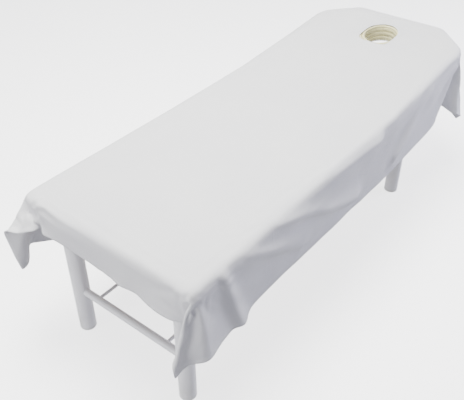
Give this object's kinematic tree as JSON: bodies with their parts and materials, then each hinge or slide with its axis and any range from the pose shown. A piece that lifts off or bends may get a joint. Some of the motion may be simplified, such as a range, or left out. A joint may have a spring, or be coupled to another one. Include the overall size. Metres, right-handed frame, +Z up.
{
  "type": "massage bed",
  "caption": "Massage bed with fixed seat pad, tilting back pad with a cushioned face opening, notched back prop, four round legs and a draped cloth sheet with a matching hole.",
  "frame": {"origin": "on the floor, midway along and across the draped bed", "axes": "+X along the bed towards the head end with the face opening, +Y across the bed, +Z up"},
  "size_m": [1.9366, 0.8056, 0.6648],
  "materials": {
    "sheet_cloth": "plain woven microfibre, matt with a faint sheen",
    "cream_vinyl": "soft satin upholstery vinyl",
    "foam": "open cell foam",
    "plywood": "sanded birch plywood",
    "white_steel": "satin powder coat",
    "zinc": "zinc plated",
    "white_plastic": "moulded, fine grain",
    "grey_rubber": "matt"
  },
  "bodies": {
    "base": {"side_rail_left": "white_steel", "side_rail_right": "white_steel", "foot_end_rail": "white_steel", "seat_cross_rail_front": "white_steel", "seat_cross_rail_middle": "white_steel", "hinge_cross_rail": "white_steel", "foot_leg_rail": "white_steel", "head_leg_rail": "white_steel", "rack_cross_rail": "white_steel", "rail_end_plugs": "white_plastic", "rest_bumpers": "grey_rubber", "leg_foot_left": "white_steel", "foot_cap_foot_left": "white_plastic", "leg_foot_right": "white_steel", "foot_cap_foot_right": "white_plastic", "leg_head_left": "white_steel", "foot_cap_head_left": "white_plastic", "leg_head_right": "white_steel", "foot_cap_head_right": "white_plastic", "leg_fixings": "zinc", "foot_stretcher": "white_steel", "head_stretcher": "white_steel", "stretcher_fixings": "zinc", "long_rod_left": "white_steel", "long_rod_right": "white_steel", "seat_board": "plywood", "seat_foam": "foam", "seat_cover": "cream_vinyl", "seat_board_screws": "zinc", "hinge_bracket_left": "white_steel", "hinge_bracket_right": "white_steel", "hinge_pin_left": "zinc", "hinge_pin_right": "zinc", "rack_plate_left": "white_steel", "rack_plate_right": "white_steel", "sheet_lower": "sheet_cloth"},
    "back_section": {"back_board": "plywood", "back_foam": "foam", "back_cover": "cream_vinyl", "back_side_rail_left": "white_steel", "back_side_rail_right": "white_steel", "back_hinge_rail": "white_steel", "back_prop_rail": "white_steel", "back_middle_rail": "white_steel", "back_head_rail": "white_steel", "back_diagonal_left": "white_steel", "back_diagonal_right": "white_steel", "face_cradle_cushion": "foam", "face_cradle_cover": "cream_vinyl", "face_hole_trim": "white_plastic", "back_screws": "zinc", "hinge_ear_left": "white_steel", "hinge_ear_right": "white_steel", "prop_lug_left": "white_steel", "prop_lug_right": "white_steel", "prop_pins": "zinc", "sheet_upper": "sheet_cloth"},
    "prop": {"prop_frame": "white_steel", "prop_foot_tips": "white_plastic"}
  },
  "joints": [
    {"name": "back_tilt", "type": "hinge", "parent": "base", "child": "back_section", "pos_m": [0.23165, 0, 0.5285], "axis": [0, -1, 0], "range_deg": [-5, 40]},
    {"name": "prop_swing", "type": "hinge", "parent": "back_section", "child": "prop", "pos_m": [0.44664, 0, 0.53024], "axis": [0, -1, 0], "range_deg": [-85, 15]}
  ],
  "couplings": [
    {"joint": "prop_swing", "follows": "back_tilt", "ratio": -2}
  ]
}
